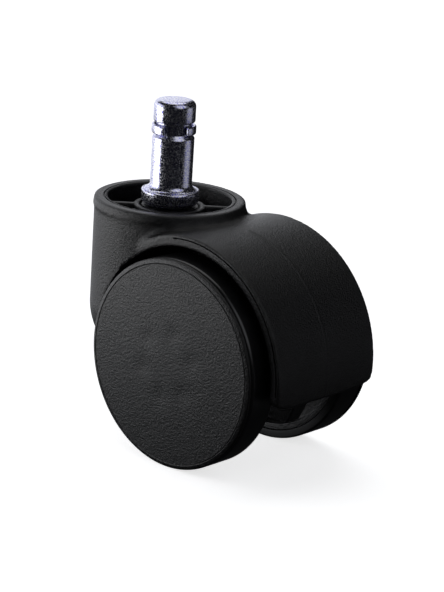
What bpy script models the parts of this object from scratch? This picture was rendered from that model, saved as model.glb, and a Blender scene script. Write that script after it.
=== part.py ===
"""Hooded twin-wheel chair caster on a plain round stem with a snap-in grip ring.

Metres, +Z up.  The origin is on the swivel axis, level with the shoulder of the
stem's collar.  +X runs from the stem towards the back of the hood, and the wheels
turn about a line parallel to Y.
"""
import math

import bmesh
import bpy
from mathutils import Vector

MM = 0.001

# Driving dimensions, in metres.
WHEEL_RADIUS = 25.0 * MM
WHEEL_TRAIL = 22.5 * MM          # swivel axis to axle, along X
RIM_Z = -2.5 * MM                # top of the boss that surrounds the stem
AXLE_Z = RIM_Z - 32.0 * MM
STEM_RADIUS = 5.05 * MM
STEM_TIP_Z = 21.5 * MM
COLLAR_RADIUS = 7.0 * MM
PIN_RADIUS = 4.0 * MM            # stem below its collar
PIN_END_Z = -24.1 * MM
BOSS_RADIUS = 18.1 * MM
BOWL_RADIUS = 14.9 * MM
TUBE_RADIUS = 8.6 * MM           # socket tube in the middle of the bowl
HOOD_RADIUS = 29.8 * MM
HOOD_HALF_WIDTH = 17.1 * MM
WELL_RADIUS = 27.1 * MM          # wheel arch inside the hood
WEB_HALF = 2.4 * MM              # wall between the wheels
AXLE_RADIUS = 3.0 * MM
TREAD_INNER_Y = 12.7 * MM
TREAD_OUTER_Y = 20.6 * MM
COVER_FACE_Y = 21.7 * MM         # at the cover's edge, below its dome
GAP = 0.3 * MM                   # between neighbouring pieces
FIT = 0.1 * MM                   # radial play of a running fit
BIG_STEPS = 48
SMALL_STEPS = 24
MERGE = 0.01 * MM
CHAMFER = 0.3 * MM               # broken edge of a turned part

AXLE = Vector((WHEEL_TRAIL, 0.0, AXLE_Z))


def new_collection(name):
    collection = bpy.data.collections.new(name)
    bpy.context.scene.collection.children.link(collection)
    return collection


for leftover in list(bpy.data.objects):
    bpy.data.objects.remove(leftover, do_unlink=True)

PARTS = new_collection("chair_caster")
CUTTERS = new_collection("cutters")


def material(name, colour, roughness, metallic):
    mat = bpy.data.materials.new(name)
    mat.use_nodes = True
    shader = mat.node_tree.nodes["Principled BSDF"]
    shader.inputs["Base Color"].default_value = (*colour, 1.0)
    shader.inputs["Roughness"].default_value = roughness
    shader.inputs["Metallic"].default_value = metallic
    return mat


def link(obj, collection):
    """Put an object in one collection only."""
    for old in list(obj.users_collection):
        old.objects.unlink(obj)
    collection.objects.link(obj)
    return obj


def as_cutter(obj):
    obj.hide_render = True
    obj.display_type = "WIRE"
    return link(obj, CUTTERS)


def arc(centre_r, centre_z, radius, start_deg, end_deg, count):
    """Profile points on an arc; 0 degrees points outwards and 90 degrees up."""
    points = []
    for i in range(count + 1):
        angle = math.radians(start_deg + (end_deg - start_deg) * i / count)
        points.append((centre_r + radius * math.cos(angle), centre_z + radius * math.sin(angle)))
    return points


def ring_profile(inner_r, outer_r, bottom, top):
    """Square section of a plain ring, starting down its outer side."""
    return [(inner_r, top), (outer_r, top), (outer_r, bottom), (inner_r, bottom)]


def turned(name, profile, closed, steps=SMALL_STEPS):
    """A body turned about its own Z from (radius, height) points."""
    mesh = bpy.data.meshes.new(name)
    edges = [(i, i + 1) for i in range(len(profile) - 1)]
    if closed:
        edges.append((len(profile) - 1, 0))
    mesh.from_pydata([(r, 0.0, z) for r, z in profile], edges, [])
    obj = bpy.data.objects.new(name, mesh)
    PARTS.objects.link(obj)
    screw = obj.modifiers.new("turn", "SCREW")
    screw.axis = "Z"
    screw.steps = steps
    screw.render_steps = steps
    screw.use_merge_vertices = True
    screw.merge_threshold = MERGE
    screw.use_smooth_shade = True
    return obj


def on_axle(obj, side):
    """Lay a turned body on the axle, its own +Z pointing out to one side."""
    obj.rotation_euler = (-side * math.pi / 2, 0.0, 0.0)
    obj.location = AXLE
    return obj


def box(name, low, high):
    low, high = Vector(low), Vector(high)
    mesh = bpy.data.meshes.new(name)
    bm = bmesh.new()
    bmesh.ops.create_cube(bm, size=1.0)
    bmesh.ops.scale(bm, vec=high - low, verts=bm.verts)
    bm.to_mesh(mesh)
    bm.free()
    obj = bpy.data.objects.new(name, mesh)
    obj.location = (low + high) / 2
    PARTS.objects.link(obj)
    return obj


def combine(target, tool, operation, solver="EXACT"):
    boolean = target.modifiers.new(operation.lower() + "_" + tool.name, "BOOLEAN")
    boolean.operation = operation
    boolean.object = tool
    boolean.solver = solver
    as_cutter(tool)
    return target


def finish(obj, mat, sharp_deg=35.0):
    obj.data.materials.append(mat)
    if obj.data.polygons:
        obj.data.shade_smooth()
        obj.data.set_sharp_from_angle(angle=math.radians(sharp_deg))
    return obj


NYLON = material("black_nylon", (0.012, 0.012, 0.013), 0.5, 0.0)
TREAD = material("black_tread", (0.010, 0.010, 0.011), 0.32, 0.0)
ZINC = material("bright_zinc", (0.62, 0.63, 0.68), 0.2, 1.0)
STEEL = material("steel", (0.45, 0.45, 0.46), 0.35, 1.0)
ACETAL = material("natural_acetal", (0.72, 0.71, 0.66), 0.4, 0.0)


# Stem: plated steel, with a head, a neck for the grip ring, a collar and a lower pin.
HEAD_EDGE = 1.6 * MM
NECK_RADIUS = 4.3 * MM
NECK_TOP = 16.2 * MM
NECK_BOTTOM = 13.3 * MM
NECK_FLARE = 0.9 * MM
CLIP_GROOVE_RADIUS = 3.3 * MM
CLIP_TOP = -21.0 * MM
CLIP_BOTTOM = -22.0 * MM
COLLAR_FLARE_TOP = 1.8 * MM
COLLAR_FLARE = 1.5 * MM
COLLAR_TOP_EDGE = 0.9 * MM
COLLAR_UNDER_EDGE = 1.9 * MM
COLLAR_BOTTOM = -4.2 * MM
COLLAR_TOP = -0.4 * MM
PIN_END_EDGE = 0.8 * MM

stem_profile = [(0.0, STEM_TIP_Z)]
stem_profile += arc(STEM_RADIUS - HEAD_EDGE, STEM_TIP_Z - HEAD_EDGE, HEAD_EDGE, 90, 0, 4)
stem_profile += [
    (STEM_RADIUS, NECK_TOP + CHAMFER), (STEM_RADIUS - CHAMFER, NECK_TOP),
    (NECK_RADIUS, NECK_TOP), (NECK_RADIUS, NECK_BOTTOM), (STEM_RADIUS, NECK_BOTTOM - NECK_FLARE),
]
stem_profile += arc(STEM_RADIUS + COLLAR_FLARE, COLLAR_FLARE_TOP, COLLAR_FLARE, 180, 250, 4)
stem_profile += arc(COLLAR_RADIUS - COLLAR_TOP_EDGE, COLLAR_TOP - COLLAR_TOP_EDGE,
                    COLLAR_TOP_EDGE, 75, 0, 3)
stem_profile += arc(COLLAR_RADIUS - COLLAR_UNDER_EDGE, COLLAR_BOTTOM + COLLAR_UNDER_EDGE,
                    COLLAR_UNDER_EDGE, 0, -90, 4)
stem_profile += [
    (PIN_RADIUS, COLLAR_BOTTOM), (PIN_RADIUS, CLIP_TOP),
    (CLIP_GROOVE_RADIUS, CLIP_TOP), (CLIP_GROOVE_RADIUS, CLIP_BOTTOM),
    (PIN_RADIUS, CLIP_BOTTOM), (PIN_RADIUS, PIN_END_Z + PIN_END_EDGE),
    (PIN_RADIUS - PIN_END_EDGE, PIN_END_Z), (0.0, PIN_END_Z),
]
finish(turned("stem", stem_profile, closed=False), ZINC)


def split_ring(name, inner_r, outer_r, bottom, top, slot, slot_deg, mat):
    """A spring ring with one gap, cut from a turned ring."""
    ring = turned(name, ring_profile(inner_r, outer_r, bottom, top), closed=True)
    reach = outer_r + MM
    gap = box(name + "_gap", (0.0, -slot / 2, bottom - MM), (reach, slot / 2, top + MM))
    turn = math.radians(slot_deg)
    gap.location = (reach / 2 * math.cos(turn), reach / 2 * math.sin(turn), (bottom + top) / 2)
    gap.rotation_euler = (0.0, 0.0, turn)
    return finish(combine(ring, gap, "DIFFERENCE"), mat)


# Grip ring: the sprung, split ring in the neck that snaps into the leg's socket.
GRIP_RING_HEIGHT = 2.1 * MM
GRIP_RING_SLOT = 5.2 * MM
GRIP_RING_SLOT_DEG = -40.0
split_ring("grip_ring", NECK_RADIUS + GAP, STEM_RADIUS + GAP, NECK_BOTTOM + FIT,
           NECK_BOTTOM + FIT + GRIP_RING_HEIGHT, GRIP_RING_SLOT, GRIP_RING_SLOT_DEG, ZINC)

# Stem clip: the split ring in the pin's lower groove that stops the stem pulling out.
CLIP_RADIUS = 4.9 * MM
CLIP_SLOT = 2.0 * MM
CLIP_SLOT_DEG = 180.0
split_ring("stem_clip", CLIP_GROOVE_RADIUS + FIT, CLIP_RADIUS, CLIP_BOTTOM + FIT, CLIP_TOP - FIT,
           CLIP_SLOT, CLIP_SLOT_DEG, STEEL)

# Collar washer: black nylon, between the collar and the socket.
SIDE_PLAY = 0.2 * MM             # end play of the washers and the bush
WASHER_THICKNESS = 0.9 * MM
WASHER_TOP = COLLAR_BOTTOM - SIDE_PLAY
WASHER_BOTTOM = WASHER_TOP - WASHER_THICKNESS
finish(turned("collar_washer", ring_profile(
    PIN_RADIUS + GAP, COLLAR_RADIUS - SIDE_PLAY, WASHER_BOTTOM, WASHER_TOP), closed=True), NYLON)

# Stem bush: the plain bearing sleeve that the stem swivels in.
BUSH_TOP = WASHER_BOTTOM - SIDE_PLAY
BUSH_BOTTOM = CLIP_TOP + GAP
BUSH_RADIUS = 5.2 * MM
finish(turned("stem_bush", ring_profile(
    PIN_RADIUS + FIT, BUSH_RADIUS, BUSH_BOTTOM, BUSH_TOP), closed=True), ACETAL)

# Thrust disc: hardened steel under the pin's end, which carries the load.
SOCKET_RADIUS = BUSH_RADIUS + FIT
SOCKET_BOTTOM = -25.5 * MM


def disc_profile(radius, bottom, top):
    return [(0.0, top), (radius, top), (radius, bottom), (0.0, bottom)]


finish(turned("thrust_disc", disc_profile(
    BUSH_RADIUS, SOCKET_BOTTOM + FIT, PIN_END_Z - SIDE_PLAY), closed=False), STEEL)


# Housing: one moulding.  Boss and hood are joined, then the wheel wells, the bowl
# round the stem and the hollow under it are cut, and the web and axle boss go in.
RIM_EDGE = 0.5 * MM
RIM_INSET = 0.2 * MM             # rim's edge inside the boss's radius
BEAD = 0.3 * MM                  # the rim's bead outside the boss's radius
BEAD_Z = RIM_Z - 2.0 * MM
BEAD_END_Z = RIM_Z - 2.6 * MM
BOSS_ARC_Z = RIM_Z - 26.0 * MM
BOSS_ARC = 16.0 * MM
BOSS_BOTTOM = RIM_Z - 37.5 * MM
SHELL = 3.0 * MM
RIB_TOP = RIM_Z - 1.7 * MM
BOWL_BOTTOM = RIM_Z - 16.0 * MM
CORE_TOP = BOWL_BOTTOM - SHELL
HOOD_BOTTOM = RIM_Z - 36.8 * MM
WEB_RADIUS = 24.0 * MM
WEB_BOTTOM = RIM_Z - 45.0 * MM
AXLE_BOSS_RADIUS = 6.2 * MM
AXLE_BOSS_HALF = 9.6 * MM
LIP_RADIUS = 28.85 * MM
LIP_GROOVE = 0.45 * MM
LIP_GROOVE_DEPTH = 1.2 * MM
HOOD_START = 0.37 * MM           # the hood's arc begins inside the boss
KEEP_HALF = 3.0 * MM             # web inside the boss
ARCH_WALL = 2.3 * MM             # bowl floor above the wheel arch
FAR = 80.0 * MM                  # beyond every face of the housing

boss_end = math.degrees(math.asin((BOSS_ARC_Z - BOSS_BOTTOM) / BOSS_ARC))
boss_profile = [(0.0, RIM_Z), (BOSS_RADIUS - RIM_EDGE, RIM_Z)]
boss_profile += arc(BOSS_RADIUS - RIM_INSET, RIM_Z - RIM_EDGE, RIM_EDGE, 75, 0, 3)
boss_profile += [(BOSS_RADIUS + BEAD, BEAD_Z), (BOSS_RADIUS, BEAD_END_Z)]
boss_profile += arc(BOSS_RADIUS - BOSS_ARC, BOSS_ARC_Z, BOSS_ARC, 0, -boss_end, 6)
boss_profile.append((0.0, BOSS_BOTTOM))
housing = turned("housing", boss_profile, closed=False, steps=BIG_STEPS)

HOOD_EDGE = 0.45 * MM
side_profile = [(0.0, HOOD_HALF_WIDTH), (LIP_RADIUS, HOOD_HALF_WIDTH)]
side_profile += [(LIP_RADIUS, HOOD_HALF_WIDTH - LIP_GROOVE_DEPTH),
                 (LIP_RADIUS + LIP_GROOVE, HOOD_HALF_WIDTH - LIP_GROOVE_DEPTH)]
side_profile += arc(HOOD_RADIUS - HOOD_EDGE, HOOD_HALF_WIDTH - HOOD_EDGE, HOOD_EDGE, 90, 0, 3)
hood_profile = side_profile + [(r, -y) for r, y in reversed(side_profile)]
hood = on_axle(turned("hood_drum", hood_profile, closed=False, steps=BIG_STEPS), 1)
combine(hood, box("hood_front_cut", (-FAR, -FAR, -FAR), (HOOD_START, FAR, FAR)), "DIFFERENCE")
combine(hood, box("hood_bottom_cut", (-FAR, -FAR, -FAR), (FAR, FAR, HOOD_BOTTOM)), "DIFFERENCE")
combine(housing, hood, "UNION", "MANIFOLD")

web_section = disc_profile(WEB_RADIUS, -AXLE_BOSS_HALF, AXLE_BOSS_HALF)
web = on_axle(turned("web", web_section, closed=False, steps=BIG_STEPS), 1)
combine(web, box("web_bottom_cut", (-FAR, -FAR, -FAR), (FAR, FAR, WEB_BOTTOM)), "DIFFERENCE")
combine(housing, web, "UNION", "MANIFOLD")

WHEEL_SIDES = ((-1, "left"), (1, "right"))
for side, label in WHEEL_SIDES:
    well = turned("well_" + label, disc_profile(WELL_RADIUS, WEB_HALF, FAR), closed=False, steps=BIG_STEPS)
    combine(housing, on_axle(well, side), "DIFFERENCE", "MANIFOLD")

# The bowl follows the hood's curve, and four ribs stand in it.
shallow = turned("bowl_top", disc_profile(BOWL_RADIUS, RIB_TOP, FAR), closed=False, steps=BIG_STEPS)
combine(housing, shallow, "DIFFERENCE", "MANIFOLD")
bowl_section = ring_profile(TUBE_RADIUS, BOWL_RADIUS - GAP, BOWL_BOTTOM, RIB_TOP + MM)
bowl = turned("bowl", bowl_section, closed=True, steps=BIG_STEPS)
arch_section = disc_profile(WELL_RADIUS + ARCH_WALL, -FAR, FAR)
arch_skin = turned("arch_skin", arch_section, closed=False, steps=BIG_STEPS)
combine(bowl, on_axle(arch_skin, 1), "DIFFERENCE")
RIB_HALF = 0.75 * MM
RIBS = 4
for k in range(RIBS):
    rib = box("rib_%d" % k, (TUBE_RADIUS - MM, -RIB_HALF, -FAR), (BOSS_RADIUS, RIB_HALF, FAR))
    turn = 2 * math.pi * (k + 0.5) / RIBS
    middle = rib.location.copy()
    rib.location = (middle.x * math.cos(turn), middle.x * math.sin(turn), middle.z)
    rib.rotation_euler = (0.0, 0.0, turn)
    combine(bowl, rib, "DIFFERENCE")
combine(housing, bowl, "DIFFERENCE", "MANIFOLD")

# The hollow under the bowl is open below; the web runs through it.
TUBE_FLOOR = 2.5 * MM
TUBE_BOTTOM = SOCKET_BOTTOM - TUBE_FLOOR
core_profile = [(TUBE_RADIUS, CORE_TOP), (BOSS_RADIUS - SHELL, CORE_TOP)]
CORE_END_DEG = -60.0
core_profile += arc(BOSS_RADIUS - BOSS_ARC, BOSS_ARC_Z, BOSS_ARC - SHELL, 0, CORE_END_DEG, 6)
mouth_r = core_profile[-1][0]
core_profile += [(mouth_r, -FAR), (MM, -FAR), (MM, TUBE_BOTTOM), (TUBE_RADIUS, TUBE_BOTTOM)]
core = turned("core", core_profile, closed=True, steps=BIG_STEPS)
combine(core, box("web_keep", (-FAR, -KEEP_HALF, -FAR), (FAR, KEEP_HALF, FAR)), "DIFFERENCE")
combine(housing, core, "DIFFERENCE", "MANIFOLD")

tube_section = disc_profile(TUBE_RADIUS - GAP, TUBE_BOTTOM, RIB_TOP - GAP)
tube = turned("tube", tube_section, closed=False, steps=BIG_STEPS)
combine(housing, tube, "UNION", "MANIFOLD")
boss_section = disc_profile(AXLE_BOSS_RADIUS, -AXLE_BOSS_HALF, AXLE_BOSS_HALF)
axle_boss = turned("axle_boss", boss_section, closed=False)
combine(housing, on_axle(axle_boss, 1), "UNION", "MANIFOLD")
axle_bore = turned("axle_bore", disc_profile(AXLE_RADIUS + FIT, -FAR, FAR), closed=False)
combine(housing, on_axle(axle_bore, 1), "DIFFERENCE", "MANIFOLD")
socket = turned("socket", disc_profile(SOCKET_RADIUS, SOCKET_BOTTOM, FAR), closed=False)
combine(housing, socket, "DIFFERENCE", "MANIFOLD")
seat_section = disc_profile(COLLAR_RADIUS + GAP, WASHER_BOTTOM - FIT, FAR)
seat = turned("collar_seat", seat_section, closed=False, steps=BIG_STEPS)
combine(housing, seat, "DIFFERENCE", "MANIFOLD")
finish(housing, NYLON)


# Axle: a steel pin pressed through the web, grooved near each end for its clips.
AXLE_HALF = 19.9 * MM
AXLE_CLIP_Y = 18.5 * MM
AXLE_GROOVE_RADIUS = 2.6 * MM
AXLE_CLIP_THICKNESS = 0.6 * MM
AXLE_CHAMFER = 0.5 * MM
half_axle = [
    (0.0, AXLE_HALF), (AXLE_RADIUS - AXLE_CHAMFER, AXLE_HALF), (AXLE_RADIUS, AXLE_HALF - AXLE_CHAMFER),
    (AXLE_RADIUS, AXLE_CLIP_Y + AXLE_CLIP_THICKNESS + FIT),
    (AXLE_GROOVE_RADIUS, AXLE_CLIP_Y + AXLE_CLIP_THICKNESS + FIT),
    (AXLE_GROOVE_RADIUS, AXLE_CLIP_Y - FIT), (AXLE_RADIUS, AXLE_CLIP_Y - FIT),
]
axle_profile = half_axle + [(r, -y) for r, y in reversed(half_axle)]
finish(on_axle(turned("axle", axle_profile, closed=False), 1), STEEL)


# Wheels: a nylon core, a tread ring round it, a bush in its hub and a cover
# snapped on outside.  A washer and a clip hold each wheel on the axle.
HUB_RADIUS = 7.0 * MM
HUB_GAP = 1.2 * MM               # room for the thrust washer
HUB_INNER_Y = AXLE_BOSS_HALF + HUB_GAP
HUB_OUTER_Y = 18.2 * MM
HUB_BUSH_RADIUS = 4.4 * MM
TREAD_THICKNESS = 2.0 * MM
CORE_RADIUS = WHEEL_RADIUS - TREAD_THICKNESS - FIT
CORE_WALL = 1.5 * MM
DISC_INNER_Y = 16.6 * MM
SHOULDER = 1.1 * MM
INNER_SHOULDER = 0.5 * MM
COVER_RADIUS = WHEEL_RADIUS
COVER_RIM_Y = TREAD_OUTER_Y + GAP
COVER_EDGE = 1.2 * MM
COVER_EDGE_DROP = 0.35 * MM
DOME = 0.9 * MM
SKIRT_WALL = 1.2 * MM
COVER_SKIRT_RADIUS = CORE_RADIUS - CORE_WALL - GAP

tread_profile = [(WHEEL_RADIUS - TREAD_THICKNESS, TREAD_OUTER_Y)]
tread_profile += arc(WHEEL_RADIUS - SHOULDER, TREAD_OUTER_Y - SHOULDER, SHOULDER, 90, 0, 5)
tread_profile += arc(WHEEL_RADIUS - INNER_SHOULDER, TREAD_INNER_Y + INNER_SHOULDER,
                     INNER_SHOULDER, 0, -90, 3)
tread_profile.append((WHEEL_RADIUS - TREAD_THICKNESS, TREAD_INNER_Y))

CORE_OUTER_Y = TREAD_OUTER_Y - GAP
CORE_INNER_Y = TREAD_INNER_Y + 2 * FIT
core_section = [
    (CORE_RADIUS - CORE_WALL, CORE_OUTER_Y), (CORE_RADIUS, CORE_OUTER_Y),
    (CORE_RADIUS, CORE_INNER_Y), (CORE_RADIUS - CORE_WALL, CORE_INNER_Y),
    (CORE_RADIUS - CORE_WALL, DISC_INNER_Y), (HUB_RADIUS, DISC_INNER_Y), (HUB_RADIUS, HUB_INNER_Y),
    (HUB_BUSH_RADIUS + FIT, HUB_INNER_Y), (HUB_BUSH_RADIUS + FIT, HUB_OUTER_Y),
    (HUB_RADIUS, HUB_OUTER_Y), (CORE_RADIUS - CORE_WALL, HUB_OUTER_Y),
]


def dome_height(radius):
    """The cover swells by DOME from its edge to its middle."""
    share = radius / (COVER_RADIUS - COVER_EDGE)
    return COVER_FACE_Y + DOME * (1.0 - share * share)


COVER_STEPS = 5
cover_profile = []
for i in range(COVER_STEPS + 1):
    radius = (COVER_RADIUS - COVER_EDGE) * i / COVER_STEPS
    cover_profile.append((radius, dome_height(radius)))
cover_profile += [
    (COVER_RADIUS - COVER_EDGE_DROP, COVER_FACE_Y - COVER_EDGE_DROP),
    (COVER_RADIUS, COVER_FACE_Y - 2 * COVER_EDGE_DROP),
    (COVER_RADIUS, COVER_RIM_Y), (COVER_SKIRT_RADIUS, COVER_RIM_Y),
    (COVER_SKIRT_RADIUS, HUB_OUTER_Y + GAP), (COVER_SKIRT_RADIUS - SKIRT_WALL, HUB_OUTER_Y + GAP),
    (COVER_SKIRT_RADIUS - SKIRT_WALL, COVER_RIM_Y), (0.0, COVER_RIM_Y),
]

for side, label in WHEEL_SIDES:
    tread = turned("tread_" + label, tread_profile, closed=True, steps=BIG_STEPS)
    finish(on_axle(tread, side), TREAD)
    wheel_core = turned("wheel_core_" + label, core_section, closed=True, steps=BIG_STEPS)
    finish(on_axle(wheel_core, side), NYLON)
    cover = turned("wheel_cover_" + label, cover_profile, closed=False, steps=BIG_STEPS)
    finish(on_axle(cover, side), NYLON)
    hub_bush = turned("hub_bush_" + label, ring_profile(
        AXLE_RADIUS + FIT, HUB_BUSH_RADIUS, HUB_INNER_Y, HUB_OUTER_Y), closed=True)
    finish(on_axle(hub_bush, side), ACETAL)
    washer = turned("thrust_washer_" + label, ring_profile(
        AXLE_RADIUS + GAP, AXLE_BOSS_RADIUS, AXLE_BOSS_HALF + FIT, HUB_INNER_Y - FIT), closed=True)
    finish(on_axle(washer, side), STEEL)
    clip = turned("axle_clip_" + label, ring_profile(
        AXLE_GROOVE_RADIUS + FIT, AXLE_BOSS_RADIUS - SIDE_PLAY,
        AXLE_CLIP_Y, AXLE_CLIP_Y + AXLE_CLIP_THICKNESS), closed=True)
    finish(on_axle(clip, side), STEEL)
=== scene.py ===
"""Looks of a hooded twin-wheel chair caster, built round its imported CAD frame.

Metres, +Z up.  The swivel axis is the Z axis, the origin lies at the stem's
shoulder, +X runs towards the back of the hood and the axle runs along Y.
"""
import math

import bmesh
import bpy
from mathutils import Matrix, Vector


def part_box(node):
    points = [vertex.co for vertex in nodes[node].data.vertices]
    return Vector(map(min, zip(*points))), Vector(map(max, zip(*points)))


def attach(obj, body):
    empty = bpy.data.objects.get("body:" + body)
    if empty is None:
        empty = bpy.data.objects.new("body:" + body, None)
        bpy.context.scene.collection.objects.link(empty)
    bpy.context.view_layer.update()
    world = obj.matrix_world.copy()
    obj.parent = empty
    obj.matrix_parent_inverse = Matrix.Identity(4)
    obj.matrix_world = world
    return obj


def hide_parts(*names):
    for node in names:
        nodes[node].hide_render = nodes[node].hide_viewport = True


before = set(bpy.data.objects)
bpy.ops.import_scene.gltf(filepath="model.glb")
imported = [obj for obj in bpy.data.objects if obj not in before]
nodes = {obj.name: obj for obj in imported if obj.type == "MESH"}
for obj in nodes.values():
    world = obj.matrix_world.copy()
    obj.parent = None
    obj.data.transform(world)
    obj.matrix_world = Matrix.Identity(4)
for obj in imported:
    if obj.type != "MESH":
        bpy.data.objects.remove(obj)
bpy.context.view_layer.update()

MM = 0.001

# ---------------------------------------------------------------------------
# Stem.  A steel pin turned from bar, with a head, a neck for the grip ring and
# a collar that rides on the housing.  It is barrel plated with bright zinc.
# ---------------------------------------------------------------------------
MERGE = 0.001 * MM
TURN_STEPS = 96
CORNER_DEG = 12.0


def rounded(corners):
    """Points of an outline through (x, y, corner radius) corners, with each corner made an arc."""
    points = []
    for i, (x, y, radius) in enumerate(corners):
        here = Vector((x, y))
        if radius == 0.0:
            points.append(here)
            continue
        before = (Vector(corners[i - 1][:2]) - here).normalized()
        after = (Vector(corners[(i + 1) % len(corners)][:2]) - here).normalized()
        opening = before.angle(after)
        reach = radius / math.tan(opening / 2)
        centre = here + (before + after).normalized() * (radius / math.sin(opening / 2))
        start = here + before * reach - centre
        sweep = start.angle_signed(here + after * reach - centre)
        count = max(2, round(abs(math.degrees(sweep)) / CORNER_DEG))
        for k in range(count + 1):
            points.append(centre + Matrix.Rotation(-sweep * k / count, 2) @ start)
    return [(p.x, p.y) for p in points]


def spun(section, closed=False, steps=TURN_STEPS):
    """A closed body turned about Z from (radius, height) points."""
    bm = bmesh.new()
    verts = [bm.verts.new((r, 0.0, z)) for r, z in section]
    edges = [bm.edges.new(pair) for pair in zip(verts, verts[1:])]
    if closed:
        edges.append(bm.edges.new((verts[-1], verts[0])))
    bmesh.ops.spin(bm, geom=verts + edges, axis=(0, 0, 1), cent=(0, 0, 0),
                   angle=2 * math.pi, steps=steps, use_merge=True)
    bmesh.ops.remove_doubles(bm, verts=bm.verts, dist=MERGE)
    bmesh.ops.recalc_face_normals(bm, faces=bm.faces)
    return bm


def made_piece(bm, name, sharp_deg=40.0):
    """A smooth-shaded object that holds the bmesh, at the origin."""
    mesh = bpy.data.meshes.new(name)
    bm.to_mesh(mesh)
    bm.free()
    piece = bpy.data.objects.new(name, mesh)
    bpy.context.scene.collection.objects.link(piece)
    mesh.shade_smooth()
    mesh.set_sharp_from_angle(angle=math.radians(sharp_deg))
    return piece


def linear(code):
    """An sRGB hex colour such as 8A8D92 as the linear RGBA that a socket takes."""
    levels = [int(code[i:i + 2], 16) / 255 for i in (0, 2, 4)]
    return [c / 12.92 if c <= 0.04045 else ((c + 0.055) / 1.055) ** 2.4 for c in levels] + [1.0]


def add(tree, kind, settings=None, links=None, stops=None):
    """A shader node with its properties and sockets set, its inputs linked and its ramp filled."""
    made = tree.nodes.new("ShaderNode" + kind)
    for key, value in (settings or {}).items():
        if isinstance(key, str) and hasattr(made, key):
            setattr(made, key, value)
        else:
            made.inputs[key].default_value = value
    for key, source in (links or {}).items():
        tree.links.new(source, made.inputs[key])
    for i, (place, code) in enumerate(stops or []):
        ramp = made.color_ramp.elements
        element = ramp[i] if i < len(ramp) else ramp.new(place)
        element.position = place
        element.color = linear(code)
    return made


def new_material(name):
    """A material with an empty tree, and its Object coordinates."""
    mat = bpy.data.materials.new(name)
    mat.use_nodes = True
    mat.node_tree.nodes.clear()
    return mat, mat.node_tree, add(mat.node_tree, "TexCoord").outputs["Object"]


def finished(tree, shader):
    add(tree, "OutputMaterial", links={"Surface": shader.outputs["BSDF"]})


# Bright zinc plate over turned steel, barrel plated: a cold mirror with a fine
# speckle of smooth blue-violet spots between paler, duller grains.
PIT = 0.3 * MM
CLOUD = 2.5 * MM
zinc, tree, place = new_material("bright_zinc_plate_barrel_plated")
pits = add(tree, "TexNoise", {"Scale": 1 / PIT, "Detail": 3.0, "Roughness": 0.7}, {"Vector": place})
clouds = add(tree, "TexNoise", {"Scale": 1 / CLOUD, "Detail": 2.0}, {"Vector": place})
tint = add(tree, "ValToRGB", links={"Fac": pits.outputs["Fac"]},
           stops=[(0.42, "6A68B4"), (0.5, "D6D7E6"), (0.6, "F0F0F4")])
dulling = add(tree, "MapRange", {"From Min": 0.46, "From Max": 0.66, "To Min": 0.12, "To Max": 0.45},
              {"Value": pits.outputs["Fac"]})
relief = add(tree, "Bump", {"Strength": 0.5, "Distance": 0.03 * MM}, {"Height": pits.outputs["Fac"]})
wave = add(tree, "Bump", {"Strength": 0.4, "Distance": 0.03 * MM},
           {"Height": clouds.outputs["Fac"], "Normal": relief.outputs["Normal"]})
finished(tree, add(tree, "BsdfPrincipled", {"Metallic": 1.0}, {
    "Base Color": tint.outputs["Color"], "Roughness": dulling.outputs["Result"],
    "Normal": wave.outputs["Normal"]}))

stem_low, stem_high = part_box("stem")
STEM_RADIUS = 5.05 * MM
HEAD_EDGE = 1.6 * MM
NECK_RADIUS = 4.3 * MM
NECK_TOP = 16.2 * MM
NECK_BOTTOM = 13.3 * MM
COLLAR_RADIUS = stem_high.x
SHOULDER_Z = -0.35 * MM
COLLAR_BOTTOM = -4.2 * MM
PIN_RADIUS = 4.0 * MM
PIN_EDGE = 0.8 * MM
CLIP_GROOVE_RADIUS = 3.3 * MM
CLIP_GROOVE = (-22.0 * MM, -21.0 * MM)
SCORE = 0.14 * MM

stem_section = rounded([
    (0.0, stem_high.z, 0.0), (STEM_RADIUS, stem_high.z, HEAD_EDGE),
    (STEM_RADIUS, NECK_TOP, 0.4 * MM), (NECK_RADIUS, NECK_TOP, 0.15 * MM),
    (NECK_RADIUS, NECK_BOTTOM, 0.4 * MM), (STEM_RADIUS, NECK_BOTTOM - 0.9 * MM, 0.5 * MM),
    (STEM_RADIUS, SHOULDER_Z + 0.35 * MM, 1.5 * MM), (COLLAR_RADIUS - 0.6 * MM, SHOULDER_Z, 0.05 * MM),
    (COLLAR_RADIUS - 0.6 * MM + SCORE / 2, SHOULDER_Z - SCORE, 0.03 * MM),
    (COLLAR_RADIUS - 0.6 * MM + SCORE, SHOULDER_Z, 0.03 * MM),
    (COLLAR_RADIUS, SHOULDER_Z - 0.2 * MM, 0.42 * MM), (COLLAR_RADIUS, COLLAR_BOTTOM, 1.9 * MM),
    (PIN_RADIUS, COLLAR_BOTTOM, 0.0), (PIN_RADIUS, CLIP_GROOVE[1], 0.05 * MM),
    (CLIP_GROOVE_RADIUS, CLIP_GROOVE[1], 0.05 * MM), (CLIP_GROOVE_RADIUS, CLIP_GROOVE[0], 0.05 * MM),
    (PIN_RADIUS, CLIP_GROOVE[0], 0.05 * MM), (PIN_RADIUS, stem_low.z, PIN_EDGE), (0.0, stem_low.z, 0.0)])
stem = made_piece(spun(stem_section), "plated_stem")
stem.data.materials.append(zinc)
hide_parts("stem")
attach(stem, "stem")


# ---------------------------------------------------------------------------
# Grip ring.  A split ring rolled from flat spring steel and plated with the
# stem.  It is loose in the neck and springs out against the leg's socket.
# ---------------------------------------------------------------------------
GRIP_GAP_DEG = (-71.5, -8.5)
ring_low, ring_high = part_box("grip_ring")
GRIP_RADIUS = ring_high.x
GRIP_WALL = 0.75 * MM
GRIP_EDGE = 0.32 * MM


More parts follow.
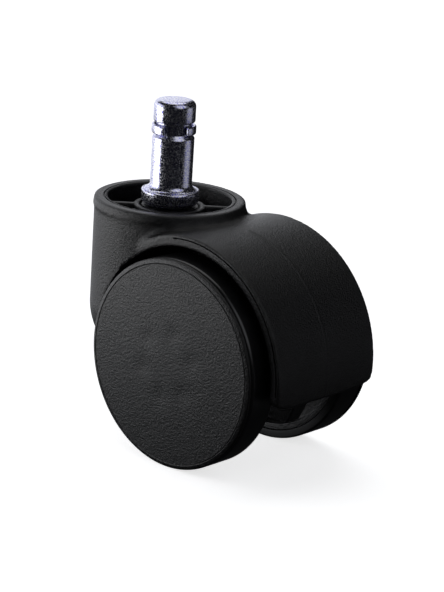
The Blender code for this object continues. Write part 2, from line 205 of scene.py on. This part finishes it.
def split_ring(inner, outer, low, high, edge, gap_deg):
    """A ring of rounded section that runs from the end of its gap round to the gap's start."""
    bm = bmesh.new()
    section = rounded([(inner, high, edge), (outer, high, edge), (outer, low, edge), (inner, low, edge)])
    face = bm.faces.new([bm.verts.new((r, 0.0, z)) for r, z in section])
    start, end = math.radians(gap_deg[1]), math.radians(gap_deg[0]) + 2 * math.pi
    bmesh.ops.rotate(bm, verts=bm.verts, matrix=Matrix.Rotation(start, 3, "Z"))
    bmesh.ops.spin(bm, geom=[face], axis=(0, 0, 1), cent=(0, 0, 0), angle=end - start, steps=TURN_STEPS)
    bmesh.ops.holes_fill(bm, edges=[e for e in bm.edges if e.is_boundary])
    bmesh.ops.recalc_face_normals(bm, faces=bm.faces)
    caps = [f for f in bm.faces if len(f.verts) > 4]
    bmesh.ops.bevel(bm, geom=[e for f in caps for e in f.edges], offset=edge / 2, segments=2,
                    profile=0.5, affect="EDGES", material=-1)
    return bm


grip = made_piece(split_ring(GRIP_RADIUS - GRIP_WALL, GRIP_RADIUS, ring_low.z, ring_high.z,
                             GRIP_EDGE, GRIP_GAP_DEG), "sprung_grip_ring")
grip.data.materials.append(zinc)
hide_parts("grip_ring")
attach(grip, "ring")


# ---------------------------------------------------------------------------
# Housing.  One injection moulding in black nylon: a boss round the stem, a
# hood over the wheels and a web between them, moulded with a spark-eroded grain.
# ---------------------------------------------------------------------------
axle_low, axle_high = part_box("axle")
AXLE = (axle_low + axle_high) / 2
shell_low, shell_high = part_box("housing")
RIM_Z = shell_high.z
BOSS_RADIUS = 18.1 * MM
RIM_BEAD = 0.3 * MM
BEAD_DROP = 2.8 * MM
BEAD_SLOPE = 0.8 * MM
RIM_BAND = 1.2 * MM
RIM_FADE = 1.4 * MM
BOSS_ARC = 16.0 * MM
BOSS_ARC_Z = RIM_Z - 26.0 * MM
BOSS_BOTTOM = RIM_Z - 37.5 * MM
HOOD_RADIUS = shell_high.x - AXLE.x
HOOD_HALF = 17.1 * MM
HOOD_EDGE = 0.5 * MM
HOOD_BOTTOM = RIM_Z - 36.8 * MM
HOOD_CORNER = 1.6 * MM
WELL_RADIUS = 27.1 * MM
WEB_HALF = 2.4 * MM
WEB_RADIUS = 24.0 * MM
WEB_BOTTOM = shell_low.z
BOWL_RADIUS = 14.9 * MM
BOWL_BOTTOM = RIM_Z - 16.0 * MM
TUBE_RADIUS = 8.6 * MM
TUBE_BOTTOM = -28.0 * MM
RIB_TOP = RIM_Z - 1.7 * MM
RIB_HALF = 0.75 * MM
SHELL = 3.0 * MM
ARCH_WALL = 2.3 * MM
AXLE_BOSS_RADIUS = 6.2 * MM
AXLE_BOSS_HALF = 9.6 * MM
AXLE_BORE_RADIUS = 3.1 * MM
SOCKET_RADIUS = 5.3 * MM
SOCKET_BOTTOM = -25.5 * MM
SEAT_RADIUS = COLLAR_RADIUS + 0.3 * MM
SEAT_BOTTOM = -5.4 * MM
LIP_RADIUS = 28.85 * MM
LIP_GROOVE = 0.35 * MM
LIP_GROOVE_DEPTH = 1.0 * MM
FILLET = 3.2 * MM
LIP_FILLET = 0.8 * MM
SIDE_BLEND = 5.0 * MM
SKIN = 0.9 * MM
VOXEL = 0.4 * MM
FAR = 80.0 * MM
BIG_STEPS = 192


def on_axle(bm, side=1):
    """Lay a body turned about Z on the axle, its +Z pointing out to one side."""
    lay = Matrix.Translation(AXLE) @ Matrix.Rotation(-side * math.pi / 2, 4, "X")
    bmesh.ops.transform(bm, matrix=lay, verts=bm.verts)
    return bm


def disc(radius, low, high):
    return spun([(0.0, high), (radius, high), (radius, low), (0.0, low)], steps=BIG_STEPS)


def ring(inner, outer, low, high):
    return spun([(inner, high), (outer, high), (outer, low), (inner, low)], closed=True, steps=BIG_STEPS)


def block(low, high, turn=0.0):
    """A box between two corners, turned about the Z axis."""
    bm = bmesh.new()
    bmesh.ops.create_cube(bm, size=1.0)
    low, high = Vector(low), Vector(high)
    bmesh.ops.scale(bm, vec=high - low, verts=bm.verts)
    bmesh.ops.translate(bm, vec=(low + high) / 2, verts=bm.verts)
    bmesh.ops.rotate(bm, verts=bm.verts, matrix=Matrix.Rotation(turn, 3, "Z"))
    return bm


def applied(piece):
    """Puts what the piece's modifiers make into its own mesh, and clears them."""
    graph = bpy.context.evaluated_depsgraph_get()
    mesh = bpy.data.meshes.new_from_object(piece.evaluated_get(graph))
    piece.modifiers.clear()
    piece.data = mesh
    return piece


def carved(piece, steps):
    """Joins to a piece, or cuts from it, one body after another."""
    tools = []
    for operation, bm in steps:
        tools.append(made_piece(bm, "tool"))
        boolean = piece.modifiers.new("tool", "BOOLEAN")
        boolean.operation = operation
        boolean.solver = "MANIFOLD"
        boolean.object = tools[-1]
    applied(piece)
    for tool in tools:
        bpy.data.objects.remove(tool)
    return piece


boss_end = math.asin((BOSS_ARC_Z - BOSS_BOTTOM) / BOSS_ARC)
BOSS_ARC_STEPS = 24
boss_section = rounded([
    (0.0, RIM_Z, 0.0), (BOSS_RADIUS + 0.05 * MM, RIM_Z, 0.6 * MM),
    (BOSS_RADIUS + RIM_BEAD, RIM_Z - 2.0 * MM, 0.5 * MM), (BOSS_RADIUS, RIM_Z - BEAD_DROP, 0.5 * MM),
    (BOSS_RADIUS, RIM_Z - 10.0 * MM, 0.0)])
for k in range(BOSS_ARC_STEPS + 1):
    turn = boss_end * k / BOSS_ARC_STEPS
    boss_section.append((BOSS_RADIUS - BOSS_ARC + BOSS_ARC * math.cos(turn),
                         BOSS_ARC_Z - BOSS_ARC * math.sin(turn)))
boss_section.append((0.0, BOSS_BOTTOM))

hood_section = rounded([
    (0.0, HOOD_HALF, 0.0), (HOOD_RADIUS, HOOD_HALF, HOOD_EDGE),
    (HOOD_RADIUS, -HOOD_HALF, HOOD_EDGE), (0.0, -HOOD_HALF, 0.0)])
hood = made_piece(on_axle(spun(hood_section, steps=BIG_STEPS)), "hood")


def hood_floor():
    """The space under the hood; its roof rises towards the hood's two sides."""
    bm = bmesh.new()
    flat = HOOD_HALF - 7.0 * MM
    roof = []
    for k in range(-24, 25):
        y = HOOD_HALF * 1.1 * k / 24
        over = max(abs(y) - flat, 0.0) / (HOOD_HALF - flat)
        roof.append((y, HOOD_BOTTOM + HOOD_CORNER * over ** 2.5))
    points = roof + [(HOOD_HALF * 1.1, -FAR), (-HOOD_HALF * 1.1, -FAR)]
    face = bm.faces.new([bm.verts.new((-FAR, y, z)) for y, z in points])
    made = bmesh.ops.extrude_face_region(bm, geom=[face])
    moved = [v for v in made["geom"] if isinstance(v, bmesh.types.BMVert)]
    bmesh.ops.translate(bm, vec=(2 * FAR, 0, 0), verts=moved)
    bmesh.ops.recalc_face_normals(bm, faces=bm.faces)
    return bm


carved(hood, [("DIFFERENCE", block((-FAR, -FAR, -FAR), (0.37 * MM, FAR, FAR))),
              ("DIFFERENCE", hood_floor())])

web = made_piece(on_axle(disc(WEB_RADIUS, -AXLE_BOSS_HALF, AXLE_BOSS_HALF)), "web")
carved(web, [("DIFFERENCE", block((-FAR, -FAR, -FAR), (FAR, FAR, WEB_BOTTOM)))])

bowl = made_piece(ring(TUBE_RADIUS, BOWL_RADIUS - 0.05 * MM, BOWL_BOTTOM, RIB_TOP + MM), "bowl")
carved(bowl, [("DIFFERENCE", on_axle(disc(WELL_RADIUS + ARCH_WALL, -FAR, FAR)))] + [
    ("DIFFERENCE", block((TUBE_RADIUS - MM, -RIB_HALF, -FAR), (BOSS_RADIUS, RIB_HALF, FAR),
                         math.radians(45 + 90 * k))) for k in range(4)])

core_section = rounded([
    (TUBE_RADIUS, BOWL_BOTTOM - SHELL, 0.0), (BOSS_RADIUS - SHELL, BOWL_BOTTOM - SHELL, 1.5 * MM),
    (BOSS_RADIUS - SHELL, BOSS_ARC_Z - 11.0 * MM, 9.0 * MM), (8.0 * MM, -FAR, 0.0),
    (MM, -FAR, 0.0), (MM, TUBE_BOTTOM, 0.0), (TUBE_RADIUS, TUBE_BOTTOM, 0.0)])
core = made_piece(spun(core_section, closed=True, steps=BIG_STEPS), "core")
carved(core, [("DIFFERENCE", block((-FAR, -WEB_HALF - 0.6 * MM, -FAR), (FAR, WEB_HALF + 0.6 * MM, FAR)))])


def taken(piece):
    """The bmesh of a working piece, which is then removed."""
    bm = bmesh.new()
    bm.from_mesh(piece.data)
    bpy.data.objects.remove(piece)
    return bm


housing = made_piece(spun(boss_section, steps=BIG_STEPS), "hooded_housing")
carved(housing, [
    ("UNION", taken(hood)), ("UNION", taken(web)),
    ("DIFFERENCE", on_axle(disc(WELL_RADIUS, WEB_HALF, FAR), -1)),
    ("DIFFERENCE", on_axle(disc(WELL_RADIUS, WEB_HALF, FAR), 1)),
    ("DIFFERENCE", disc(BOWL_RADIUS, RIB_TOP, FAR)), ("DIFFERENCE", taken(bowl)),
    ("DIFFERENCE", taken(core)), ("UNION", disc(TUBE_RADIUS - 0.3 * MM, TUBE_BOTTOM, RIB_TOP - 0.3 * MM)),
    ("UNION", on_axle(disc(AXLE_BOSS_RADIUS, -AXLE_BOSS_HALF, AXLE_BOSS_HALF))),
    ("DIFFERENCE", on_axle(disc(AXLE_BORE_RADIUS, -FAR, FAR))),
    ("DIFFERENCE", disc(SOCKET_RADIUS, SOCKET_BOTTOM, FAR)),
    ("DIFFERENCE", disc(SEAT_RADIUS, SEAT_BOTTOM, FAR))])

even = housing.modifiers.new("even_skin", "REMESH")
even.mode = "VOXEL"
even.voxel_size = VOXEL
applied(housing)


def from_stem(point):
    return math.hypot(point.x, point.y)


def from_axle(point):
    return math.hypot(point.x - AXLE.x, point.z - AXLE.z)


def skin_distance(point):
    """Distances from the outer skin of boss and hood: as two plain bodies, and with a fillet between."""
    rise = min(1.0, max(0.0, (point.z - RIM_Z + BEAD_DROP) / BEAD_SLOPE))
    boss = from_stem(point) - BOSS_RADIUS - RIM_BEAD * rise
    side = abs(point.y) - HOOD_HALF
    drum = max(from_axle(point) - HOOD_RADIUS, side)
    share = min(1.0, max(0.0, -side / SIDE_BLEND))
    reach = LIP_FILLET + (FILLET - LIP_FILLET) * share * share * (3 - 2 * share)
    overlap = max(reach - abs(boss - drum), 0.0) / reach
    fade = min(1.0, max(0.0, (RIM_Z - RIM_BAND - point.z) / RIM_FADE))
    return min(boss, drum), min(boss, drum) - overlap * overlap * reach / 4 * fade


def eased(bm, verts, times):
    """Smooths some of a body's points, over and over."""
    for turn in range(times):
        bmesh.ops.smooth_vert(bm, verts=verts, factor=0.5,
                              use_axis_x=True, use_axis_y=True, use_axis_z=True)


# The skin near the crease moves on to the filleted distance by Newton's steps,
# then the crease, the lip's end, the bead's foot and the hood's foot are eased.
SLOPE_STEP = 0.01 * MM
PROUD = 0.25 * MM
LIP_MARGIN = 0.9 * MM
NEWTON_TURNS = 5
LEAST_SLOPE = 0.3
bm = bmesh.new()
bm.from_mesh(housing.data)
crease = []
for vert in bm.verts:
    plain, filled = skin_distance(vert.co)
    if vert.co.x < 0 or not -SKIN < plain < PROUD or plain - filled < SLOPE_STEP:
        continue
    if abs(vert.co.y) > HOOD_HALF - LIP_MARGIN:
        continue
    target = filled + (plain - filled) * min(1.0, 2 * (plain + SKIN) / SKIN)
    crease.append(vert)
    for turn in range(NEWTON_TURNS):
        value = skin_distance(vert.co)[1]
        slope = Vector([(skin_distance(vert.co + Vector(d) * SLOPE_STEP)[1] - value) / SLOPE_STEP
                        for d in ((1, 0, 0), (0, 1, 0), (0, 0, 1))])
        vert.co -= slope * ((value - target) / max(slope.length_squared, LEAST_SLOPE))
eased(bm, crease, 10)
eased(bm, [v for v in bm.verts if v.co.x > 0 and -3 * MM < abs(v.co.y) - HOOD_HALF < 1.5 * MM
           and abs(from_stem(v.co) - BOSS_RADIUS) < 3 * MM
           and abs(from_axle(v.co) - HOOD_RADIUS) < 1.6 * MM], 12)
eased(bm, [v for v in bm.verts if v.co.x > 0 and RIM_Z - 4.4 * MM < v.co.z < RIM_Z - 1.7 * MM
           and abs(from_stem(v.co) - BOSS_RADIUS - RIM_BEAD) < 1.3 * MM], 10)
eased(bm, [v for v in bm.verts if v.co.z < HOOD_BOTTOM + 3 * MM
           and from_axle(v.co) > WELL_RADIUS - MM and v.co.x > AXLE.x], 6)
bm.to_mesh(housing.data)
bm.free()

# Fine lines of the moulding: a groove that sets off the lip round each wheel
# arch, the step in the rim and the raised parting line along the hood.
LIP_START_DEG = 100.0
LIP_END_DEG = -2.0


def sector(section, start_deg, end_deg):
    """A closed (radius, y) section swept about the axle; 0 degrees points to +X and 90 degrees up."""
    bm = bmesh.new()
    face = bm.faces.new([bm.verts.new((r, y, 0.0)) for r, y in section])
    bmesh.ops.rotate(bm, verts=bm.verts, matrix=Matrix.Rotation(-math.radians(start_deg), 3, "Y"))
    bmesh.ops.spin(bm, geom=[face], axis=(0, 1, 0), cent=(0, 0, 0),
                   angle=math.radians(start_deg - end_deg), steps=BIG_STEPS)
    bmesh.ops.holes_fill(bm, edges=[e for e in bm.edges if e.is_boundary])
    bmesh.ops.recalc_face_normals(bm, faces=bm.faces)
    bmesh.ops.translate(bm, vec=AXLE, verts=bm.verts)
    return bm


def lip_groove(side):
    mouth = side * (HOOD_HALF + MM)
    floor = side * (HOOD_HALF - LIP_GROOVE_DEPTH)
    return sector([(LIP_RADIUS, mouth), (LIP_RADIUS + LIP_GROOVE, mouth),
                   (LIP_RADIUS + LIP_GROOVE, floor), (LIP_RADIUS, floor)], LIP_START_DEG, LIP_END_DEG)


RIM_STEP = 0.4 * MM
SEAM_HEIGHT = 0.14 * MM
SEAM_HALF = 0.35 * MM
SEAM_SINK = 0.02 * MM
SEAM_START_DEG = 84.0
SEAM_END_DEG = -8.0
seam = sector([(HOOD_RADIUS - SKIN, -SEAM_HALF), (HOOD_RADIUS - SEAM_SINK, -SEAM_HALF),
               (HOOD_RADIUS + SEAM_HEIGHT, 0.0), (HOOD_RADIUS - SEAM_SINK, SEAM_HALF),
               (HOOD_RADIUS - SKIN, SEAM_HALF)], SEAM_START_DEG, SEAM_END_DEG)
carved(housing, [
    ("UNION", seam),
    ("DIFFERENCE", lip_groove(-1)), ("DIFFERENCE", lip_groove(1)),
    ("DIFFERENCE", ring(BOWL_RADIUS + 0.7 * MM, BOWL_RADIUS + 0.7 * MM + RIM_STEP,
                        RIM_Z - RIM_STEP, RIM_Z + MM))])
housing.data.shade_smooth()
housing.data.set_sharp_from_angle(angle=math.radians(50))

# Black nylon 6 with a spark-eroded mould grain: a soft broken sheen over fine
# pebbles, a little duller in the hollows between them.
PEBBLE = 0.45 * MM
GRIT = 0.5 * MM
nylon, tree, place = new_material("black_nylon_spark_eroded")
pebbles = add(tree, "TexVoronoi", {"feature": "SMOOTH_F1", "Scale": 1 / PEBBLE, "Smoothness": 0.6},
              {"Vector": place})
grit = add(tree, "TexNoise", {"Scale": 1 / GRIT, "Detail": 4.0, "Roughness": 0.7}, {"Vector": place})
mottle = add(tree, "TexNoise", {"Scale": 1 / (6 * MM), "Detail": 3.0}, {"Vector": place})
shade = add(tree, "ValToRGB", links={"Fac": mottle.outputs["Fac"]},
            stops=[(0.3, "060607"), (0.7, "0C0C0D")])
gloss = add(tree, "MapRange", {"To Min": 0.32, "To Max": 0.46}, {"Value": grit.outputs["Fac"]})
rough = add(tree, "Bump", {"Strength": 1.0, "Distance": 0.21 * MM}, {"Height": grit.outputs["Fac"]})
rolling = add(tree, "Bump", {"Strength": 0.8, "Distance": 0.06 * MM, "invert": True},
              {"Height": pebbles.outputs["Distance"], "Normal": rough.outputs["Normal"]})
finished(tree, add(tree, "BsdfPrincipled", {"IOR": 1.53, "Specular IOR Level": 0.4}, {
    "Base Color": shade.outputs["Color"], "Roughness": gloss.outputs["Result"],
    "Normal": rolling.outputs["Normal"]}))
housing.data.materials.clear()
housing.data.materials.append(nylon)
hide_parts("housing")
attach(housing, "fork")


# ---------------------------------------------------------------------------
# Covers.  A shallow domed disc for each wheel, moulded in the same nylon and
# snapped into the core.  A fine line sets off its outer band, and faint sinks
# show where the moulding is thick behind the face.
# ---------------------------------------------------------------------------
cover_low, cover_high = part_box("wheel_cover_right")
WHEEL_RADIUS = cover_high.z - AXLE.z
COVER_FACE = cover_high.y
COVER_BACK = 20.9 * MM
COVER_EDGE = 0.6 * MM
COVER_BAND = 1.2 * MM
COVER_LINE = 0.16 * MM
DOME = 0.9 * MM
SKIRT_RADIUS = 21.1 * MM
SKIRT_WALL = 1.2 * MM
SKIRT_END = 18.5 * MM
RING_PITCH = 0.7 * MM
SINKS = 6
SINK_PLACE = 8.0 * MM
SINK_WIDTH = 2.2 * MM
SINK_DEPTH = 0.18 * MM


def dome(radius):
    return COVER_FACE - DOME * (radius / WHEEL_RADIUS) ** 2


line_at = WHEEL_RADIUS - COVER_BAND
cover_section = []
rings = round((line_at - COVER_LINE) / RING_PITCH)
for k in range(rings + 1):
    radius = (line_at - COVER_LINE) * k / rings
    cover_section.append((radius, dome(radius)))
cover_section += rounded([
    (line_at, dome(line_at) - COVER_LINE, 0.05 * MM), (line_at + COVER_LINE, dome(line_at), 0.05 * MM),
    (WHEEL_RADIUS, dome(WHEEL_RADIUS) - 0.3 * MM, COVER_EDGE), (WHEEL_RADIUS, COVER_BACK, 0.05 * MM),
    (SKIRT_RADIUS, COVER_BACK, 0.0), (SKIRT_RADIUS, SKIRT_END, 0.3 * MM),
    (SKIRT_RADIUS - SKIRT_WALL, SKIRT_END, 0.3 * MM), (SKIRT_RADIUS - SKIRT_WALL, COVER_BACK, 0.0),
    (0.0, COVER_BACK, 0.0)])

for side, label in ((-1, "left"), (1, "right")):
    bm = spun(cover_section, steps=144)
    for vert in bm.verts:
        if vert.co.z < COVER_BACK + 0.2 * MM:
            continue
        for k in range(SINKS):
            turn = 2 * math.pi * (k + 0.3) / SINKS
            away = math.hypot(vert.co.x - SINK_PLACE * math.cos(turn),
                              vert.co.y - SINK_PLACE * math.sin(turn))
            vert.co.z -= SINK_DEPTH * math.exp(-(away / SINK_WIDTH) ** 2)
    cover = made_piece(on_axle(bm, side), "domed_cover_" + label)
    cover.data.materials.append(nylon)
    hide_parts("wheel_cover_" + label)
    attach(cover, "wheel_" + label)


# ---------------------------------------------------------------------------
# Treads.  A smooth black nylon band moulded over each wheel's core, with a
# rounded shoulder beside the cover; it is glossier than the grained parts.
# ---------------------------------------------------------------------------
tread_low, tread_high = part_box("tread_right")
TREAD_THICKNESS = 2.0 * MM
SCUFF = 3.0 * MM
band, tree, place = new_material("black_nylon_polished_mould")
scuffs = add(tree, "TexNoise", {"Scale": 1 / SCUFF, "Detail": 6.0, "Roughness": 0.65}, {"Vector": place})
shade = add(tree, "ValToRGB", links={"Fac": scuffs.outputs["Fac"]},
            stops=[(0.35, "0B0B0C"), (0.75, "121214")])
gloss = add(tree, "MapRange", {"To Min": 0.24, "To Max": 0.36}, {"Value": scuffs.outputs["Fac"]})
ripple = add(tree, "Bump", {"Strength": 0.3, "Distance": 0.03 * MM}, {"Height": scuffs.outputs["Fac"]})
finished(tree, add(tree, "BsdfPrincipled", {"IOR": 1.53}, {
    "Base Color": shade.outputs["Color"], "Roughness": gloss.outputs["Result"],
    "Normal": ripple.outputs["Normal"]}))

tread_section = rounded([
    (WHEEL_RADIUS - TREAD_THICKNESS, tread_high.y, 0.0), (WHEEL_RADIUS, tread_high.y, 1.1 * MM),
    (WHEEL_RADIUS, tread_low.y, 0.5 * MM), (WHEEL_RADIUS - TREAD_THICKNESS, tread_low.y, 0.0)])
for side, label in ((-1, "left"), (1, "right")):
    tread = made_piece(on_axle(spun(tread_section, closed=True, steps=BIG_STEPS), side),
                       "smooth_tread_" + label)
    tread.data.materials.append(band)
    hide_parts("tread_" + label)
    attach(tread, "wheel_" + label)


# ---------------------------------------------------------------------------
# Cores.  Each wheel turns on a nylon core with a rim, a disc and a hub.  It
# shows only from below and between the wheels, and has the housing's grain.
# ---------------------------------------------------------------------------
core_low, core_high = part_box("wheel_core_right")
CORE_RADIUS = core_high.z - AXLE.z
CORE_WALL = 1.5 * MM
DISC_INNER = 16.6 * MM
HUB_RADIUS = 7.0 * MM
HUB_INNER = core_low.y
HUB_OUTER = 18.2 * MM
HUB_BORE = 4.5 * MM
CORE_RIM_INNER = 12.9 * MM
core_section = rounded([
    (CORE_RADIUS - CORE_WALL, core_high.y, 0.2 * MM), (CORE_RADIUS, core_high.y, 0.2 * MM),
    (CORE_RADIUS, CORE_RIM_INNER, 0.2 * MM), (CORE_RADIUS - CORE_WALL, CORE_RIM_INNER, 0.2 * MM),
    (CORE_RADIUS - CORE_WALL, DISC_INNER, 1.0 * MM), (HUB_RADIUS, DISC_INNER, 1.0 * MM),
    (HUB_RADIUS, HUB_INNER, 0.3 * MM), (HUB_BORE, HUB_INNER, 0.0), (HUB_BORE, HUB_OUTER, 0.0),
    (CORE_RADIUS - CORE_WALL, HUB_OUTER, 0.0)])
for side, label in ((-1, "left"), (1, "right")):
    core = made_piece(on_axle(spun(core_section, closed=True), side), "hub_core_" + label)
    core.data.materials.append(nylon)
    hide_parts("wheel_core_" + label)
    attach(core, "wheel_" + label)


# ---------------------------------------------------------------------------
# Bearings and small steel parts.  They keep their CAD shapes: a nylon washer,
# acetal bushes, and turned or punched steel discs, clips and axle.
# ---------------------------------------------------------------------------
acetal, tree, place = new_material("natural_acetal_moulded")
haze = add(tree, "TexNoise", {"Scale": 1 / (1.2 * MM), "Detail": 3.0}, {"Vector": place})
shade = add(tree, "ValToRGB", links={"Fac": haze.outputs["Fac"]},
            stops=[(0.3, "D6D4C9"), (0.7, "E6E4DA")])
gloss = add(tree, "MapRange", {"To Min": 0.3, "To Max": 0.42}, {"Value": haze.outputs["Fac"]})
finished(tree, add(tree, "BsdfPrincipled", {"IOR": 1.48}, {
    "Base Color": shade.outputs["Color"], "Roughness": gloss.outputs["Result"]}))

steel, tree, place = new_material("steel_turned_oiled")
marks = add(tree, "TexNoise", {"Scale": 1 / (0.3 * MM), "Detail": 4.0}, {"Vector": place})
shade = add(tree, "ValToRGB", links={"Fac": marks.outputs["Fac"]},
            stops=[(0.3, "8B8C90"), (0.7, "A9AAAE")])
gloss = add(tree, "MapRange", {"To Min": 0.28, "To Max": 0.45}, {"Value": marks.outputs["Fac"]})
finished(tree, add(tree, "BsdfPrincipled", {"Metallic": 1.0}, {
    "Base Color": shade.outputs["Color"], "Roughness": gloss.outputs["Result"]}))

KEPT = {"collar_washer": nylon, "stem_bush": acetal, "hub_bush_left": acetal, "hub_bush_right": acetal,
        "stem_clip": steel, "thrust_disc": steel, "axle": steel, "thrust_washer_left": steel,
        "thrust_washer_right": steel, "axle_clip_left": steel, "axle_clip_right": steel}
for name, mat in KEPT.items():
    nodes[name].data.materials.clear()
    nodes[name].data.materials.append(mat)


# ---------------------------------------------------------------------------
# Studio.  A plain white floor, a white room, a bright left side, a narrow strip
# and a softer patch on the right, a low glow behind, and two real lights.
# ---------------------------------------------------------------------------
AZIMUTH, ELEVATION, ROLL = (math.radians(a) for a in (41.465, 16.724, 3.559))
DISTANCE = 575.2 * MM
ASIDE = 12.44 * MM
ALOFT = -23.73 * MM
LENS = 145.9
SENSOR = 36.0

back = Vector((math.sin(AZIMUTH) * math.cos(ELEVATION), -math.cos(AZIMUTH) * math.cos(ELEVATION),
               math.sin(ELEVATION)))
level = Vector((math.cos(AZIMUTH), math.sin(AZIMUTH), 0.0))
upright = back.cross(level)
right = level * math.cos(ROLL) + upright * math.sin(ROLL)
up = upright * math.cos(ROLL) - level * math.sin(ROLL)
rim = Vector((0.0, 0.0, RIM_Z))
camera = bpy.data.objects.new("camera", bpy.data.cameras.new("camera"))
camera.data.lens = LENS
camera.data.sensor_width = SENSOR
camera.data.clip_start = 0.01
camera.matrix_world = Matrix.Translation(rim + right * ASIDE + up * ALOFT + back * DISTANCE) @ Matrix(
    (right, up, back)).transposed().to_4x4()
bpy.context.scene.collection.objects.link(camera)
bpy.context.scene.camera = camera

floor_bm = bmesh.new()
bmesh.ops.create_grid(floor_bm, x_segments=1, y_segments=1, size=1.5)
bmesh.ops.translate(floor_bm, vec=(0, 0, AXLE.z - WHEEL_RADIUS), verts=floor_bm.verts)
floor = made_piece(floor_bm, "floor")
paper, tree, place = new_material("white_paper_sweep")
finished(tree, add(tree, "BsdfPrincipled", {
    "Base Color": linear("F4F4F5"), "Roughness": 0.9, "Emission Color": linear("FFFFFF"),
    "Emission Strength": 0.72}))
floor.data.materials.append(paper)
floor.visible_glossy = False
floor.visible_diffuse = False

# The room is white to the camera.  What it sheds on the caster is a sum of soft
# patches, cut off below so that the lower parts stay dark.
world = bpy.data.worlds.new("studio")
bpy.context.scene.world = world
world.use_nodes = True
tree = world.node_tree
tree.nodes.clear()
path = add(tree, "LightPath")
sky = add(tree, "TexCoord").outputs["Generated"]


def from_camera(turn_deg, lift_deg):
    """A direction in the room: degrees to the right of the camera's own side, and above level."""
    turn, lift = math.radians(turn_deg), math.radians(lift_deg)
    ahead = Vector((back.x, back.y, 0.0)).normalized()
    return (ahead * math.cos(turn) + level * math.sin(turn)) * math.cos(lift) + Vector(
        (0, 0, math.sin(lift)))


def glow(turn_deg, lift_deg, edge_deg, blur_deg, strength, below=None):
    """A soft round patch of light on the room, as a strength; it adds to the patch before it."""
    toward = add(tree, "VectorMath", {"operation": "DOT_PRODUCT"}, {0: sky})
    toward.inputs[1].default_value = from_camera(turn_deg, lift_deg)
    low, high = math.cos(math.radians(edge_deg + blur_deg)), math.cos(math.radians(edge_deg - blur_deg))
    patch = add(tree, "MapRange", {"From Min": low, "From Max": high, "To Max": strength,
                                   "interpolation_type": "SMOOTHSTEP"}, {"Value": toward.outputs["Value"]})
    if below is None:
        return patch.outputs["Result"]
    return add(tree, "Math", {"operation": "ADD"}, {0: below, 1: patch.outputs["Result"]}).outputs[0]


glare = glow(-98, 4, 32, 4, 1.3)
glare = glow(-156, 4, 30, 8, 1.2, glare)
glare = glow(92, -14, 18, 6, 0.5, glare)
glare = glow(42, 40, 26, 6, 0.9, glare)
glare = glow(-175, 40, 16, 10, 0.25, glare)
lift = add(tree, "SeparateXYZ", links={0: sky})
above = add(tree, "MapRange", {"From Min": -0.37, "From Max": -0.21, "To Min": 0.02},
            {"Value": lift.outputs["Z"]})
glare = add(tree, "Math", {"operation": "MULTIPLY"}, {0: glare, 1: above.outputs["Result"]}).outputs[0]
glare = add(tree, "Math", {"operation": "ADD", 1: 0.012}, {0: glare}).outputs[0]
white = add(tree, "Background", {"Color": linear("FFFFFF"), "Strength": 1.0})
room = add(tree, "Background", {"Color": linear("F2F4FA")}, {"Strength": glare})
pick = add(tree, "MixShader", links={
    0: path.outputs["Is Camera Ray"], 1: room.outputs[0], 2: white.outputs[0]})
tree.links.new(pick.outputs[0], tree.nodes.new("ShaderNodeOutputWorld").inputs["Surface"])
bpy.context.scene.view_settings.view_transform = "Standard"

sun = bpy.data.objects.new("sun", bpy.data.lights.new("sun", "SUN"))
sun.data.energy = 0.7
sun.data.angle = math.radians(50)
sun.rotation_euler = from_camera(-172, 66).to_track_quat("Z", "Y").to_euler()
bpy.context.scene.collection.objects.link(sun)

# A small near light opposite the upper left of the nearer cover, so that the
# cover's sheen falls off towards its lower right.
KEY_REACH = 120 * MM
key = bpy.data.objects.new("key", bpy.data.lights.new("key", "AREA"))
key.data.size = 90 * MM
key.data.energy = 0.08
lit = AXLE + Vector((-20, -21, 20)) * MM
key.location = lit + from_camera(-94, 0) * KEY_REACH
key.rotation_euler = (key.location - lit).to_track_quat("Z", "Y").to_euler()
bpy.context.scene.collection.objects.link(key)
